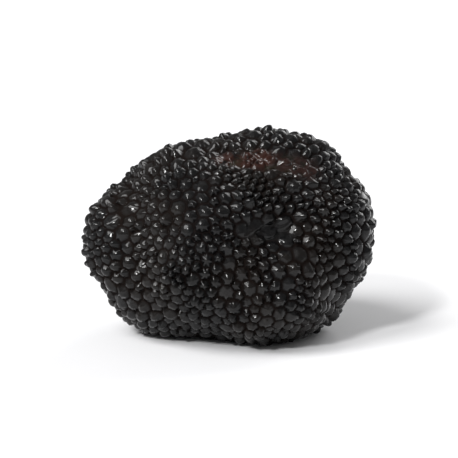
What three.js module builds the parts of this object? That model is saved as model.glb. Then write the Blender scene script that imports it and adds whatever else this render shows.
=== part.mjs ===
// A whole summer truffle, Tuber aestivum, as it comes out of its preserving juice: one solid, with no holder.
// Millimetres, +Z up. The origin is on the surface it rests on, under the middle of its box.
//
// The body is a cluster of swollen lobes that have grown together, softened where they meet, with a few dents.
// The skin is covered in warts. Each is a low pyramid of five to seven sides, and the grooves between warts
// are where neighbouring pyramids meet. Underneath, where it grew against a stone, one smooth flat scar has
// no warts, and the truffle rests on that.

import * as THREE from "three";
import { ConvexHull } from "three/addons/math/ConvexHull.js";
import { ImprovedNoise } from "three/addons/math/ImprovedNoise.js";

const length = 30.4; // X, over the warts
const depth = 26.0; // Y
const height = 21.6; // Z

const scarHeight = 10.1; // the flat scar, below the middle of the lobes
const scarRadius = 5.2; // no wart's apex is nearer than this to the middle of the scar
const scarEdge = 0.8; // share of scarHeight below which the skin counts as scar, within that radius

const wartSpacing = 1.02; // the closest that two apexes grow, on average skin
const wartSpacingSpread = 0.44; // share by which that changes from patch to patch
const wartPatchSize = 6; // how far it is from a patch of fine warts to a patch of coarse ones
const wartHeight = 0.3; // apex above the skin's middle level
const wartHeightSpread = 0.45; // share by which one wart is taller or lower than the next
const grooveDepth = 0.16; // grooves below the skin's middle level
const evenings = 2; // rounds of moving each apex towards the middle of its neighbours

const lobeBlend = 0.6; // how softly lobes run into each other
const swell = 0.55; // low, broad unevenness of the skin
const swellSize = 5.5;

// Where each kind of patchiness starts in the noise, so that the two are unlike.
const swellStart = 3.7;
const spacingStart = 11.3;

// Each lobe is a ball: where its middle is from the middle of the truffle, and its radius.
const lobes = [
  { at: new THREE.Vector3(-2.2, 0.2, 0.6), radius: 9.8 }, // core
  { at: new THREE.Vector3(7.2, -0.6, 1.2), radius: 8.0 }, // right
  { at: new THREE.Vector3(-9.1, -1.2, 0.2), radius: 6.1 }, // left
  { at: new THREE.Vector3(3.8, 0.4, 3.3), radius: 8.2 }, // crown
  { at: new THREE.Vector3(7.6, 0.2, 6.2), radius: 4.3 }, // shoulder of the crown
  { at: new THREE.Vector3(-1.8, -4.0, 0.2), radius: 8.4 }, // front
  { at: new THREE.Vector3(3.6, -4.3, -2.6), radius: 7.6 }, // front, low
  { at: new THREE.Vector3(4.4, 3.9, -0.9), radius: 8.3 }, // back, right
  { at: new THREE.Vector3(-3.8, 4.2, -0.6), radius: 8.4 }, // back, left
  { at: new THREE.Vector3(-5.6, -0.6, -3.2), radius: 7.4 }, // base, left
  { at: new THREE.Vector3(5.8, 0.2, -3.4), radius: 7.3 }, // base, right
  { at: new THREE.Vector3(0.3, 0.2, -2.5), radius: 9.0 }, // base
];

// Each dent is a soft hollow in the direction it faces: how deep it is, and its half-width as an angle.
const dents = [
  { towards: new THREE.Vector3(0.87, -0.16, 0.52).normalize(), deep: 0.55, wide: 0.13 },
  { towards: new THREE.Vector3(-0.83, -0.12, 0.5).normalize(), deep: 0.5, wide: 0.1 },
  { towards: new THREE.Vector3(0.4, -0.86, 0.22).normalize(), deep: 0.7, wide: 0.16 },
  { towards: new THREE.Vector3(0.1, 0.95, 0.31).normalize(), deep: 1.4, wide: 0.19 },
  { towards: new THREE.Vector3(-0.7, 0.62, -0.36).normalize(), deep: 0.9, wide: 0.17 },
];

const noise = new ImprovedNoise();

// A repeatable draw from 0 to 1 (mulberry32).
function makeDraw(seed) {
  let state = seed;
  return function draw() {
    state = (state + 0x6d2b79f5) | 0;
    let mixed = Math.imul(state ^ (state >>> 15), 1 | state);
    mixed = (mixed + Math.imul(mixed ^ (mixed >>> 7), 61 | mixed)) ^ mixed;
    return ((mixed ^ (mixed >>> 14)) >>> 0) / 4294967296;
  };
}

// Smooth noise, from about -1 to 1, whose features are about size across.
function patchiness(point, size, offset) {
  return noise.noise(point.x / size + offset, point.y / size - offset, point.z / size + 2 * offset);
}

// How far the skin is from the middle of the truffle in a direction, before its warts.
function skinRadius(direction) {
  let sum = 0;
  for (const { at, radius } of lobes) {
    const along = at.dot(direction);
    const reach = along + Math.sqrt(Math.max(0, radius ** 2 - at.lengthSq() + along ** 2));
    sum += Math.exp(reach / lobeBlend);
  }
  let skin = lobeBlend * Math.log(sum);
  for (const { towards, deep, wide } of dents) {
    skin -= deep * Math.exp(-((towards.angleTo(direction) / wide) ** 2));
  }
  return skin + swell * patchiness(direction.clone().multiplyScalar(skin), swellSize, swellStart);
}

// The point that far along a direction, or where that direction meets the scar's plane if that is nearer.
function pointAt(direction, radius) {
  const point = direction.clone().multiplyScalar(radius);
  return point.z < -scarHeight ? point.multiplyScalar(-scarHeight / point.z) : point;
}

function skinPoint(direction) {
  return pointAt(direction, skinRadius(direction));
}

// True where the skin belongs to the flat scar underneath.
function inScar(point) {
  return point.z < -scarEdge * scarHeight && Math.hypot(point.x, point.y) < scarRadius;
}

// Directions of the warts' apexes: drawn at random, and kept where the skin there has room for one more.
function scatterApexes(draw) {
  const tries = 40000; // enough to leave no gap that another wart would fit in
  const kept = [];
  for (let i = 0; i < tries; i++) {
    const up = 2 * draw() - 1;
    const turn = 2 * Math.PI * draw();
    const across = Math.sqrt(1 - up ** 2);
    const direction = new THREE.Vector3(across * Math.cos(turn), across * Math.sin(turn), up);
    const point = skinPoint(direction);
    const room = wartSpacing * (1 + wartSpacingSpread * patchiness(point, wartPatchSize, spacingStart));
    if (!inScar(point) && kept.every((other) => other.point.distanceTo(point) > room)) {
      kept.push({ direction, point });
    }
  }
  return kept.map(({ direction }) => direction);
}

// The triangles between neighbouring directions: each face of their convex hull.
function neighbourhood(directions) {
  return new ConvexHull().setFromPoints(directions).faces;
}

// The half-edges round one hull face.
function edgesOf(face) {
  return [face.edge, face.edge.next, face.edge.prev];
}

// Moves each direction to the middle of its neighbours on the skin, which evens out the warts.
function even(directions) {
  const middles = new Map(directions.map((direction) => [direction, new THREE.Vector3()]));
  for (const face of neighbourhood(directions)) {
    for (const edge of edgesOf(face)) {
      middles.get(edge.tail().point).add(skinPoint(edge.head().point));
    }
  }
  return directions.map((direction) => middles.get(direction).normalize());
}

// One pyramid for each apex: its triangles run from the apex down to the grooves round it.
function makeWarts(directions, draw) {
  const indexOf = new Map(directions.map((direction, i) => [direction, i]));
  const vertices = directions.map((direction) => {
    const tall = wartHeight * (1 + wartHeightSpread * (2 * draw() - 1));
    return pointAt(direction, skinRadius(direction) + tall);
  });

  const faces = neighbourhood(directions);
  for (const face of faces) {
    const corner = edgesOf(face).reduce((sum, edge) => sum.add(edge.head().point), new THREE.Vector3());
    corner.normalize();
    indexOf.set(face, vertices.length);
    vertices.push(pointAt(corner, skinRadius(corner) - grooveDepth));
  }

  const triangles = [];
  for (const face of faces) {
    for (const edge of edgesOf(face)) {
      triangles.push(indexOf.get(edge.tail().point), indexOf.get(edge.twin.face), indexOf.get(face));
    }
  }
  return new THREE.BufferGeometry().setFromPoints(vertices).setIndex(triangles);
}

// Brings the geometry to the truffle's size, with its flat scar on z = 0 under the middle of its box.
function fitToSize(geometry) {
  geometry.computeBoundingBox();
  const size = geometry.boundingBox.getSize(new THREE.Vector3());
  const middle = geometry.boundingBox.getCenter(new THREE.Vector3());
  geometry.translate(-middle.x, -middle.y, scarHeight);
  geometry.scale(length / size.x, depth / size.y, height / size.z);
  geometry.computeVertexNormals();
  return geometry;
}

const draw = makeDraw(20); // any whole number gives another truffle of the same kind
let apexes = scatterApexes(draw);
for (let i = 0; i < evenings; i++) {
  apexes = even(apexes);
}
apexes.push(new THREE.Vector3(0, 0, -1)); // the scar is one cell with no height

const truffle = new THREE.Mesh(
  fitToSize(makeWarts(apexes, draw)),
  new THREE.MeshStandardMaterial({ color: 0x17130f, roughness: 0.5, metalness: 0 }),
);
truffle.name = "truffle";

const summerTruffle = new THREE.Group();
summerTruffle.add(truffle);

export default summerTruffle;
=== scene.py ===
import itertools
import math

import bpy
import numpy as np
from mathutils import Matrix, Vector


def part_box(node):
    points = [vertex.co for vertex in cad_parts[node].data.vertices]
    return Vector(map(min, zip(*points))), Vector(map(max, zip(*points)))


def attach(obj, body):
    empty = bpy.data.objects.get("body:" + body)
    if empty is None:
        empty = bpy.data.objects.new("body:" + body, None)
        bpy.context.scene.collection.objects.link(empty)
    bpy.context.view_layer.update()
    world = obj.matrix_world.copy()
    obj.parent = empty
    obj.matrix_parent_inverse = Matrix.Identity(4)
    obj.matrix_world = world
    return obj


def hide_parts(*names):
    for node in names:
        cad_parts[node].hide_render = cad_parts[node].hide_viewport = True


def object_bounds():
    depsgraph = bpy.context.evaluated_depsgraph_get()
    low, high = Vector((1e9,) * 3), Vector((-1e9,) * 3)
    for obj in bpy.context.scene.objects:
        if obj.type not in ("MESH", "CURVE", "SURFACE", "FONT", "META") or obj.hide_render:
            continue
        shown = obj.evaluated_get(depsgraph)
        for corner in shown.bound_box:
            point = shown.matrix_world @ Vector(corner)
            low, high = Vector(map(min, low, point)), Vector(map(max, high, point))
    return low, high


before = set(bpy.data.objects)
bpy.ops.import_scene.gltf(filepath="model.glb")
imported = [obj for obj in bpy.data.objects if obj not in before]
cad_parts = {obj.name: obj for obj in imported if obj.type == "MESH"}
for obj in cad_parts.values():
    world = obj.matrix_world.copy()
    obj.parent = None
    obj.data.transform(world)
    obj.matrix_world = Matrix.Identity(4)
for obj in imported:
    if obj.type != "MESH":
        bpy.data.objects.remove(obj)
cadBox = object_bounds()
print("frame loaded")

mm = 0.001

skin = {
    "rows": 5,               # steps up each face of a wart, from groove to apex
    "crowdGroove": 1.35,     # how much those steps crowd towards the groove
    "evenings": 4,           # rounds of evening out the directions that neighbouring warts grow in
    "taller": (0.75, 1.4),   # height of a wart against its plain pyramid, from the lowest to the tallest
    "dome": (1.05, 2.1),     # how steeply a wart leaves its groove: 1 is a straight pyramid
    "round": 0.22,           # how far a wart's outline goes from its polygon to a circle
    "pointed": 0.45,         # share of the warts that keep their whole point
    "blunt": 0.16,           # how much of the height the bluntest warts have lost
    "bluntTop": 0.15,        # slope left on top of a blunt wart, against what it was
    "crest": 0.28,           # how far the ridges of the sharpest warts stand out, against the wart's height
    "crestPower": 4,         # how narrow those ridges are
    "lean": 0.17 * mm,       # how far an apex leans to one side
    "leanPower": 1.5,        # how much of that lean comes near the apex
    "curl": 0.12 * mm,       # how far grooves and ridges wander from straight
    "curlSize": 1.1 * mm,
    "fineCurl": 0.4,         # a finer wander on top, against curl
    "fineCurlSize": 0.45,    # against curlSize
    "grit": 0.022 * mm,      # fine unevenness
    "gritSize": 0.34 * mm,
    "scarHeight": 0.4 * mm,  # everything this near the table belongs to the flat scar, which stays flat
}

# Places where the warts are worn low. Each is a stroke over the skin, from one direction to another as seen
# from the middle of the truffle, and wide is its half-width as an angle. Wrinkles run along the stroke.
wornPlaces = [
    {"from": (-0.06, -0.47, 0.88), "to": (0.30, -0.47, 0.84), "wide": 0.17, "worn": 1.0, "red": 1.0},
    {"from": (0.36, -0.46, 0.80), "to": (0.66, -0.42, 0.62), "wide": 0.16, "worn": 0.8, "red": 0.55},
    {"from": (0.20, -0.92, 0.18), "to": (0.55, -0.80, 0.16), "wide": 0.13, "worn": 0.5, "red": 0.0},
    {"from": (-0.45, 0.80, 0.40), "to": (-0.20, 0.90, 0.45), "wide": 0.13, "worn": 0.6, "red": 0.6},
    {"from": (0.90, 0.35, 0.10), "to": (0.85, 0.45, -0.15), "wide": 0.11, "worn": 0.5, "red": 0.2},
]
wear = {
    "core": 0.35,         # share of a stroke's half-width that is worn evenly
    "most": 0.95,         # share of its height that a wart can lose
    "wornRise": 0.45,     # where a worn place counts as lying between groove and tip, for its paint
    "apart": 0.95 * mm,   # from wrinkle to wrinkle
    "high": 0.23 * mm,    # height of a wrinkle
    "tilt": 0.8,          # how far the sheets that cut the skin in wrinkles lean to the front
    "drift": 2.4,         # how far wrinkles stray, as an angle of their wave
    "driftSize": 2.2 * mm,
    "fineDrift": 0.8,
    "fineDriftSize": 0.9 * mm,
}

# Where each kind of chance starts, so that no two are alike. Lean and curl take three in a row.
seeds = {"tall": 0, "dome": 1, "blunt": 2, "tone": 3, "lean": 6, "curl": 21, "fineCurl": 31, "grit": 41,
         "drift": 51, "fineDrift": 52}
grains = {"cad": 1e-6, "grown": 1e-7, "draw": 1e-5}  # metres within which two points count as one
noiseStart = 200                                     # lattice cells that keep the noise's corners above zero


def cornerDraw(cell, seed):
    # a repeatable draw from -1 to 1 for each whole-number corner: its three numbers are mixed and scrambled
    mixed = cell[:, 0] * 374761393 + cell[:, 1] * 668265263 + cell[:, 2] * 974634777 + seed * 362437
    mixed = mixed & 0xFFFFFFFF
    mixed = ((mixed ^ (mixed >> 13)) * 1274126177) & 0xFFFFFFFF
    mixed = ((mixed ^ (mixed >> 15)) * 668265263) & 0xFFFFFFFF
    return ((mixed ^ (mixed >> 16)) & 0xFFFFFF) / 0x7FFFFF - 1


def patchNoise(points, size, seed):
    # smooth noise: one draw at each corner of a lattice of that size, eased from corner to corner
    spot = points / size + noiseStart
    cell = np.floor(spot).astype(np.int64)
    ease = spot - cell
    ease = ease * ease * (3 - 2 * ease)
    total = np.zeros(len(points))
    for corner in itertools.product((0, 1), repeat=3):
        weight = np.prod(np.where(corner, ease, 1 - ease), axis=1)
        total += weight * cornerDraw(cell + corner, seed)
    return total


def driftNoise(points, size, seed):
    # three patchNoise fields, one for each axis, as a direction to drift in
    return np.stack([patchNoise(points, size, seed + k) for k in range(3)], axis=1)


def unit(vectors):
    # each vector over its own length
    return vectors / np.maximum(np.linalg.norm(vectors, axis=-1, keepdims=True), 1e-12)


def smoothStep(low, high, values):
    # 0 up to low and 1 from high on; between them, three times the share's square less twice its cube
    share = np.clip((values - low) / (high - low), 0, 1)
    return share * share * (3 - 2 * share)


def weld(points, faces, grain):
    # points nearer than grain become one, and their order depends only on where they are
    _, first, merged = np.unique(np.round(points / grain).astype(np.int64), axis=0,
                                 return_index=True, return_inverse=True)
    return points[first], merged.reshape(-1)[faces], first


def pointNormals(points, faces):
    # each point's normal: the sum of its triangles' normals, so large ones count more
    a, b, c = points[faces[:, 0]], points[faces[:, 1]], points[faces[:, 2]]
    across = np.cross(b - a, c - a)
    total = np.zeros_like(points)
    for k in range(3):
        np.add.at(total, faces[:, k], across)
    return unit(total)


def neighbourMean(values, faces):
    # the mean of the values at the other corners of the triangles round each point
    total = np.zeros_like(values)
    count = np.zeros(len(values))
    for here, there in itertools.permutations(range(3), 2):
        np.add.at(total, faces[:, here], values[faces[:, there]])
        np.add.at(count, faces[:, here], 1)
    return total / count[:, None]


def cadSkin(node):
    # the node's welded points and triangles, each triangle turned so that its wart's apex comes first
    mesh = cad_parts[node].data
    mesh.calc_loop_triangles()
    points = np.empty(len(mesh.vertices) * 3)
    faces = np.empty(len(mesh.loop_triangles) * 3, np.int32)
    mesh.vertices.foreach_get("co", points)
    mesh.loop_triangles.foreach_get("vertices", faces)
    points, faces, _ = weld(points.reshape(-1, 3), faces.reshape(-1, 3), grains["cad"])

    # the highest point is an apex, and each triangle has one apex and two points in grooves. So the rest of
    # an apex's triangles lie in grooves, and where two points lie in grooves the third is the next apex.
    isApex, inGroove = np.zeros((2, len(points)), bool)
    isApex[np.argmax(points[:, 2])] = True
    while not isApex[faces].any(axis=1).all():
        inGroove[faces[isApex[faces].any(axis=1)]] = True
        inGroove &= ~isApex
        nextTo = faces[inGroove[faces].sum(axis=1) == 2]
        isApex[nextTo[~inGroove[nextTo]]] = True
    turn = (np.argmax(isApex[faces], axis=1)[:, None] + np.arange(3)) % 3
    return points, np.take_along_axis(faces, turn, axis=1)


def faceLattice(rows, crowd):
    # a triangular lattice over one face: rise runs from 0 at the groove to 1 at the apex, as a power of the
    # step, and sweep runs from 0 to 1 along each row
    steps = [(k, j) for k in range(rows + 1) for j in range(rows - k + 1)]
    at = {step: i for i, step in enumerate(steps)}
    rise = np.array([(k / rows) ** crowd for k, _ in steps])
    sweep = np.array([j / (rows - k) if k < rows else 0.5 for k, j in steps])
    upward = [(at[k + 1, j], at[k, j], at[k, j + 1]) for k, j in steps if k + j < rows]
    downward = [(at[k, j], at[k - 1, j + 1], at[k, j + 1]) for k, j in steps if k > 0 and k + j < rows]
    return rise, sweep, np.array(upward + downward)


def nearStroke(directions, place):
    # 1 on the stroke, easing to 0 at its half-width: the distance is to the nearest point of the chord
    start, end = (unit(np.array(place[key])) for key in ("from", "to"))
    along = np.clip((directions - start) @ (end - start) / ((end - start) @ (end - start)), 0, 1)
    apart = np.linalg.norm(directions - start - along[:, None] * (end - start), axis=1)
    return 1 - smoothStep(wear["core"], 1.0, apart / place["wide"])


def wearAt(directions):
    # how worn and how red the skin is: how near each stroke is, times what that stroke does, added up
    near = [nearStroke(directions, place) for place in wornPlaces]
    worn = sum(share * place["worn"] for share, place in zip(near, wornPlaces)).clip(0, wear["most"])
    red = sum(share * place["red"] for share, place in zip(near, wornPlaces)).clip(0, 1)
    return worn, red


def wartOutline(cadPoints, cadFaces, rise, sweep):
    # how far up its wart each point counts, with the polygon partly rounded: the rise, less a share of what
    # is left above it times how much further off the groove is here than at its nearest
    apex, left, right = (cadFaces[:, k] for k in range(3))
    start, end = cadPoints[left][:, None], cadPoints[right][:, None]
    reach = np.linalg.norm(start + (end - start) * sweep[None, :, None] - cadPoints[apex][:, None], axis=2)
    nearest = np.full(len(cadPoints), np.inf)
    np.minimum.at(nearest, apex, reach.min(axis=1))
    return np.maximum(rise - skin["round"] * (1 - rise) * (reach / nearest[apex][:, None] - 1), 0)


def wartProfile(outline, sweep, domeDraw, bluntDraw):
    # share of the wart's height at each point: 1 less (1 - outline) to the power of its dome, nearly level
    # above a blunt wart's cut, and higher by its crest on the ridges, where sweep is 0 or 1
    least, most = skin["dome"]
    dome = least + (most - least) * domeDraw
    profile = 1 - (1 - outline) ** dome
    cut = 1 - skin["blunt"] * smoothStep(skin["pointed"], 1.0, bluntDraw)
    profile = np.where(profile > cut, cut + (profile - cut) * skin["bluntTop"], profile)
    onRidge = np.abs(2 * sweep - 1) ** skin["crestPower"] * 4 * outline * (1 - outline)
    return profile + skin["crest"] * (1 - domeDraw) * onRidge


def growSkin(node):
    cadPoints, cadFaces = cadSkin(node)
    apex, left, right = (cadFaces[:, k] for k in range(3))
    middle = sum(np.array(corner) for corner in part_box(node)) / 2
    upright = pointNormals(cadPoints, cadFaces)
    for _ in range(skin["evenings"]):
        upright = unit(upright + neighbourMean(upright, cadFaces))

    # each face's own points: the apex times rise, and the two ends of its groove sharing the rest by sweep
    rise, sweep, small = faceLattice(skin["rows"], skin["crowdGroove"])
    weights = np.stack([rise, (1 - rise) * (1 - sweep), (1 - rise) * sweep], axis=1)
    points = np.einsum("kc,fcx->fkx", weights, cadPoints[cadFaces])
    normals = unit(np.einsum("kc,fcx->fkx", weights, upright[cadFaces]))

    # each wart's own draws, taken at its apex so that all its faces agree
    spot = np.round(cadPoints[apex] / grains["draw"]).astype(np.int64)
    tallDraw, domeDraw, bluntDraw, toneDraw = (cornerDraw(spot, seeds[kind])[:, None] * 0.5 + 0.5
                                               for kind in ("tall", "dome", "blunt", "tone"))
    leans = np.stack([cornerDraw(spot, seeds["lean"] + k) for k in range(3)], axis=1)

    # lift along the normal: the grown height less the plain pyramid's, so that grooves stay where they are
    outline = wartOutline(cadPoints, cadFaces, rise, sweep)
    profile = wartProfile(outline, sweep, domeDraw, bluntDraw)
    tall = np.einsum("fx,fx->f", cadPoints[apex] - (cadPoints[left] + cadPoints[right]) / 2, upright[apex])
    tall = np.maximum(tall, 0)[:, None]
    least, most = skin["taller"]
    worn, red = wearAt(unit(points.reshape(-1, 3) - middle))
    higher = (least + (most - least) * tallDraw) * (1 - worn.reshape(points.shape[:2]))
    lift = tall * (higher * profile - rise)
    sideways = leans - np.einsum("fx,fx->f", leans, upright[apex])[:, None] * upright[apex]
    lean = skin["lean"] * rise[None, :, None] ** skin["leanPower"] * sideways[:, None, :]

    corners = (np.arange(len(cadFaces))[:, None, None] * len(rise) + small[None]).reshape(-1, 3)
    welded, faces, first = weld(points.reshape(-1, 3), corners, grains["grown"])
    lift, worn, red = lift.reshape(-1)[first], worn[first], red[first]
    lean, normals = lean.reshape(-1, 3)[first], normals.reshape(-1, 3)[first]
    grows = smoothStep(0, skin["scarHeight"], welded[:, 2])[:, None]
    level = outline.reshape(-1)[first] * grows[:, 0]

    # wrinkles: waves across the strokes, which all run nearly level, drifting up and down
    drift = patchNoise(welded, wear["driftSize"], seeds["drift"]) * wear["drift"]
    drift += patchNoise(welded, wear["fineDriftSize"], seeds["fineDrift"]) * wear["fineDrift"]
    waves = np.sin(2 * np.pi * (welded[:, 2] - wear["tilt"] * welded[:, 1]) / wear["apart"] + drift)
    fold = wear["high"] * worn * waves

    # a coarse and a fine wander and the grit loosen everything but the scar
    wander = driftNoise(welded, skin["curlSize"], seeds["curl"]) * skin["curl"]
    fineSize = skin["curlSize"] * skin["fineCurlSize"]
    wander += driftNoise(welded, fineSize, seeds["fineCurl"]) * skin["curl"] * skin["fineCurl"]
    grit = patchNoise(welded, skin["gritSize"], seeds["grit"]) * skin["grit"]
    made = welded + grows * (normals * (lift + fold + grit)[:, None] + lean + wander)
    made[:, 2] = np.maximum(made[:, 2], 0)

    print("skin:", len(made), "points,", len(faces), "triangles,", len(np.unique(apex)) - 1, "warts")
    return {
        "points": made, "faces": faces, "chart": chartMap(welded - middle, faces),
        "POINT": {"rise": level + (wear["wornRise"] - level) * worn, "fold": waves * 0.5 + 0.5, "red": red},
        "FACE": {"tone": np.repeat(toneDraw[:, 0], len(small))},
    }


def chartMap(offsets, faces):
    # a flat map in six charts, one for each way that a triangle can mostly face from the middle: across a
    # chart, a corner's place is the angle whose tangent is its sideways over its outward distance
    centre = offsets[faces].mean(axis=1)
    side = np.argmax(np.abs(centre), axis=1)
    ahead = np.take_along_axis(centre, side[:, None], axis=1)[:, 0] > 0
    out = np.take_along_axis(offsets[faces], side[:, None, None], axis=2)[..., 0]
    across = np.take_along_axis(offsets[faces], ((side + 1) % 3)[:, None, None], axis=2)[..., 0]
    up = np.take_along_axis(offsets[faces], ((side + 2) % 3)[:, None, None], axis=2)[..., 0]
    angles = np.stack([np.arctan(across / out), np.arctan(up / np.abs(out))], axis=2)
    room = 0.94  # share of a chart's cell that it fills
    inCell = 0.5 + room * angles / (np.pi / 2)
    return (inCell + np.stack([side, ahead], axis=1)[:, None]) / np.array([3, 2])


def meshPiece(name, points, faces):
    mesh = bpy.data.meshes.new(name)
    mesh.from_pydata(points.tolist(), [], faces.tolist())
    mesh.shade_smooth()
    piece = bpy.data.objects.new(name, mesh)
    bpy.context.scene.collection.objects.link(piece)
    return piece


def addNode(tree, kind, inputs, **settings):
    # a node with its settings and input values; an input given an output socket is linked to it
    made = tree.nodes.new(kind)
    for key, value in settings.items():
        setattr(made, key, value)
    for key, value in inputs.items():
        if isinstance(value, bpy.types.NodeSocket):
            tree.links.new(value, made.inputs[key])
        else:
            made.inputs[key].default_value = value
    return made


def blendColour(tree, share, below, above):
    # below * (1 - share) + above * share; a Mix node keeps its colours in sockets 6 and 7 and gives out 2
    return addNode(tree, "ShaderNodeMix", {0: share, 6: below, 7: above}, data_type="RGBA").outputs[2]


def rampShare(tree, value, edge):
    # 0 up to the first edge and 1 from the second on, eased between them; the edges may fall, not rise
    return addNode(tree, "ShaderNodeMapRange", {"Value": value, "From Min": edge[0], "From Max": edge[1]},
                   interpolation_type="SMOOTHSTEP").outputs["Result"]


def work(tree, operation, *values):
    return addNode(tree, "ShaderNodeMath", dict(enumerate(values)), operation=operation).outputs["Value"]


wetSkin = {
    "black": (0.0018, 0.0017, 0.0020, 1),
    "brownBlack": (0.0042, 0.0028, 0.0022, 1),
    "patchSize": 5.5 * mm,        # from a black patch to a brown-black one
    "patchEdge": (0.42, 0.62),    # the narrower, the harder a patch's edge
    "speckleSize": 0.35 * mm,
    "groove": (0.0062, 0.0028, 0.0017, 1),
    "grooveEdge": (0.30, 0.0),    # rise above which nothing is groove, and where all of it is
    # the tips of some warts, lighter grey-brown: partly rubbed wear, partly a painted sheen on the wart tops
    "tipWearAndSheen": (0.012, 0.010, 0.009, 1),
    "tipEdge": (0.55, 1.0),       # rise at which the lighter tip colour, partly rubbed wear and partly painted sheen, starts and is whole
    "tipWearAndSheenEdge": (0.55, 1.0),    # tone at which a wart's tip starts to take that lighter colour, rubbed wear and painted sheen, and takes it wholly
    "red": (0.023, 0.0062, 0.0035, 1),
    "redSize": 0.9 * mm,
    "redEdge": (0.30, 0.50),
    "olive": (0.013, 0.0092, 0.0036, 1),
    "oliveSize": 1.4 * mm,
    "oliveEdge": (0.35, 0.60),
    "foldEdge": (0.45, 0.05),     # olive lies low between the wrinkles
    "rough": (0.32, 0.55),
    "roughSize": 0.9 * mm,
    "roughEdge": (0.3, 0.7),
    "grooveRough": 0.85,
    "gloss": 0.08,
    "film": 0.9,                  # how much of the skin the film of juice covers
    "filmRough": 0.075,
    "filmIor": 1.33,
    "striae": 0.016 * mm,         # depth of the fine lines round each wart
    "striaeShare": 0.5,
    "striaeCount": 40.0,          # how many there are, as an angle of their wave from groove to apex
    "striaeWaver": 5.0,           # how far they stray, as an angle too
    "striaeWaverSize": 0.5 * mm,
    "grain": 0.026 * mm,          # depth of the fine grain
    "grainSize": 0.16 * mm,
}


def makeWetSkin():
    look = wetSkin
    material = bpy.data.materials.new("wetTruffleSkin")
    material.use_nodes = True
    tree = material.node_tree
    shader = tree.nodes["Principled BSDF"]
    spot = addNode(tree, "ShaderNodeTexCoord", {}).outputs["Object"]

    def grain(size, detail=2.0, rough=0.5):
        # cloudy noise from 0 to 1
        inputs = {"Vector": spot, "Scale": 1 / size, "Detail": detail, "Roughness": rough}
        return addNode(tree, "ShaderNodeTexNoise", inputs).outputs[0]

    def painted(name):
        # what growSkin wrote on the mesh
        return addNode(tree, "ShaderNodeAttribute", {}, attribute_name=name).outputs["Fac"]

    rise, tone, fold, red = (painted(name) for name in ("rise", "tone", "fold", "red"))
    patches = rampShare(tree, grain(look["patchSize"]), look["patchEdge"])
    speckle = grain(look["speckleSize"], 3.0, 0.6)

    base = blendColour(tree, patches, look["black"], look["brownBlack"])
    inGroove = rampShare(tree, rise, look["grooveEdge"])
    base = blendColour(tree, work(tree, "MULTIPLY", inGroove, speckle), base, look["groove"])
    # some warts get a lighter grey-brown tip: partly rubbed wear, partly a painted sheen where their tops
    # catch light
    tipWearAndSheenWarts = rampShare(tree, tone, look["tipWearAndSheenEdge"])
    tipWearAndSheenShare = work(tree, "MULTIPLY", rampShare(tree, rise, look["tipEdge"]), tipWearAndSheenWarts)
    base = blendColour(tree, work(tree, "MULTIPLY", tipWearAndSheenShare, speckle), base, look["tipWearAndSheen"])
    olivePatches = rampShare(tree, grain(look["oliveSize"], 3.0), look["oliveEdge"])
    inFold = work(tree, "MULTIPLY", rampShare(tree, fold, look["foldEdge"]), olivePatches)
    bare = blendColour(tree, inFold, look["red"], look["olive"])
    redPatches = rampShare(tree, grain(look["redSize"], 3.0, 0.6), look["redEdge"])
    base = blendColour(tree, work(tree, "MULTIPLY", red, redPatches), base, bare)
    tree.links.new(base, shader.inputs["Base Color"])

    (fromMin, fromMax), (toMin, toMax) = look["roughEdge"], look["rough"]
    onFlank = addNode(tree, "ShaderNodeMapRange", {
        "Value": grain(look["roughSize"], 3.0),
        "From Min": fromMin, "From Max": fromMax, "To Min": toMin, "To Max": toMax}).outputs["Result"]
    roughness = addNode(tree, "ShaderNodeMix", {0: inGroove, 2: onFlank, 3: look["grooveRough"]},
                        data_type="FLOAT").outputs[0]
    tree.links.new(roughness, shader.inputs["Roughness"])
    shader.inputs["Specular IOR Level"].default_value = look["gloss"]

    # the juice stays on the warts and leaves the grooves
    film = work(tree, "MULTIPLY", work(tree, "SUBTRACT", 1.0, inGroove), look["film"])
    tree.links.new(film, shader.inputs["Coat Weight"])
    shader.inputs["Coat Roughness"].default_value = look["filmRough"]
    shader.inputs["Coat IOR"].default_value = look["filmIor"]

    # fine lines run round each wart, level with its grooves, and a fine grain covers everything
    waver = work(tree, "MULTIPLY", grain(look["striaeWaverSize"]), look["striaeWaver"])
    turns = work(tree, "MULTIPLY", rise, look["striaeCount"])
    lines = work(tree, "SINE", work(tree, "ADD", turns, waver))
    striae = addNode(tree, "ShaderNodeBump", {
        "Height": lines, "Distance": look["striae"], "Strength": look["striaeShare"]}).outputs["Normal"]
    pits = addNode(tree, "ShaderNodeBump", {
        "Height": grain(look["grainSize"], 4.0, 0.6), "Distance": look["grain"], "Strength": 1.0,
        "Normal": striae}).outputs["Normal"]
    tree.links.new(pits, shader.inputs["Normal"])
    return material


def makeTruffle():
    grown = growSkin("truffle")
    piece = meshPiece("truffle_skin", grown["points"], grown["faces"])
    for domain in ("POINT", "FACE"):
        for name, values in grown[domain].items():
            attribute = piece.data.attributes.new(name, "FLOAT", domain)
            attribute.data.foreach_set("value", np.asarray(values, np.float32))
    chart = piece.data.uv_layers.new(name="OFBake")
    chart.uv.foreach_set("vector", grown["chart"].astype(np.float32).reshape(-1))
    piece.data.materials.append(makeWetSkin())
    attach(piece, "root")
    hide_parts("truffle")
    print("truffle made")


makeTruffle()


table = {
    "colour": (0.86, 0.86, 0.87, 1),
    "rough": 0.55,
    "reach": 3.0,                # metres from its middle to each edge
    "room": (1.0, 1.0, 1.0, 1),  # colour of the room round it
    "roomLight": 0.3,
}


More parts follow.
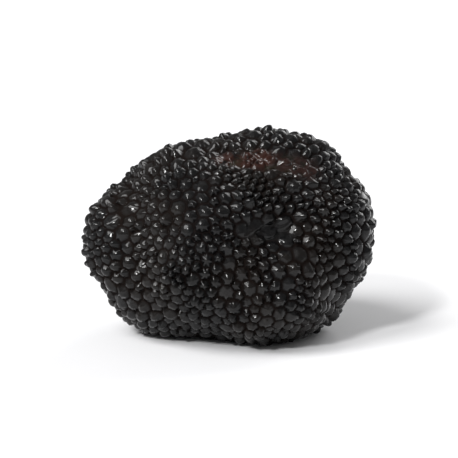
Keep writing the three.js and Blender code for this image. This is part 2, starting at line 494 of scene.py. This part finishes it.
def setTable():
    bpy.ops.mesh.primitive_plane_add(size=2 * table["reach"])
    plane = bpy.context.object
    plane.name = "table"
    material = bpy.data.materials.new("paleTable")
    material.use_nodes = True
    shader = material.node_tree.nodes["Principled BSDF"]
    shader.inputs["Base Color"].default_value = table["colour"]
    shader.inputs["Roughness"].default_value = table["rough"]
    plane.data.materials.append(material)
    world = bpy.data.worlds.new("paleRoom")
    world.use_nodes = True
    world.node_tree.nodes["Background"].inputs["Color"].default_value = table["room"]
    world.node_tree.nodes["Background"].inputs["Strength"].default_value = table["roomLight"]
    bpy.context.scene.world = world


# Each lamp is so far away that it lights the whole table alike: where it shines from, how wide it looks
# in degrees, and its strength.
lamps = {
    "window": {"from": (-0.50, -0.25, 0.70), "wide": 34, "strength": 2.5},
    "glint": {"from": (-0.36, -0.62, 0.55), "wide": 9, "strength": 1.9},
    "rim": {"from": (0.45, 0.60, 0.45), "wide": 40, "strength": 1.4},
}


def setLamps():
    for name, lamp in lamps.items():
        light = bpy.data.lights.new(name, "SUN")
        light.angle = math.radians(lamp["wide"])
        light.energy = lamp["strength"]
        made = bpy.data.objects.new(name, light)
        made.rotation_euler = (-Vector(lamp["from"])).to_track_quat("-Z", "Y").to_euler()
        bpy.context.scene.collection.objects.link(made)


viewpoint = {
    "elevation": 12.5,     # degrees above level
    "distance": 410 * mm,  # from the middle of the truffle
    "share": 0.64,         # how much of the view's width the truffle takes up
    "nearest": 10 * mm,    # nothing nearer than this is seen
}


def setCamera(low, high):
    middle = (low + high) / 2
    angle = math.radians(viewpoint["elevation"])
    back = Vector((0, -math.cos(angle), math.sin(angle)))
    camera = bpy.data.cameras.new("camera")
    camera.lens = camera.sensor_width * viewpoint["distance"] * viewpoint["share"] / (high.x - low.x)
    camera.clip_start = viewpoint["nearest"]
    made = bpy.data.objects.new("camera", camera)
    made.location = middle + back * viewpoint["distance"]
    made.rotation_euler = (-back).to_track_quat("-Z", "Y").to_euler()
    bpy.context.scene.collection.objects.link(made)
    bpy.context.scene.camera = made


setTable()
setLamps()
setCamera(*cadBox)
bpy.context.scene.view_settings.view_transform = "Standard"
print("table, lamps and camera set")
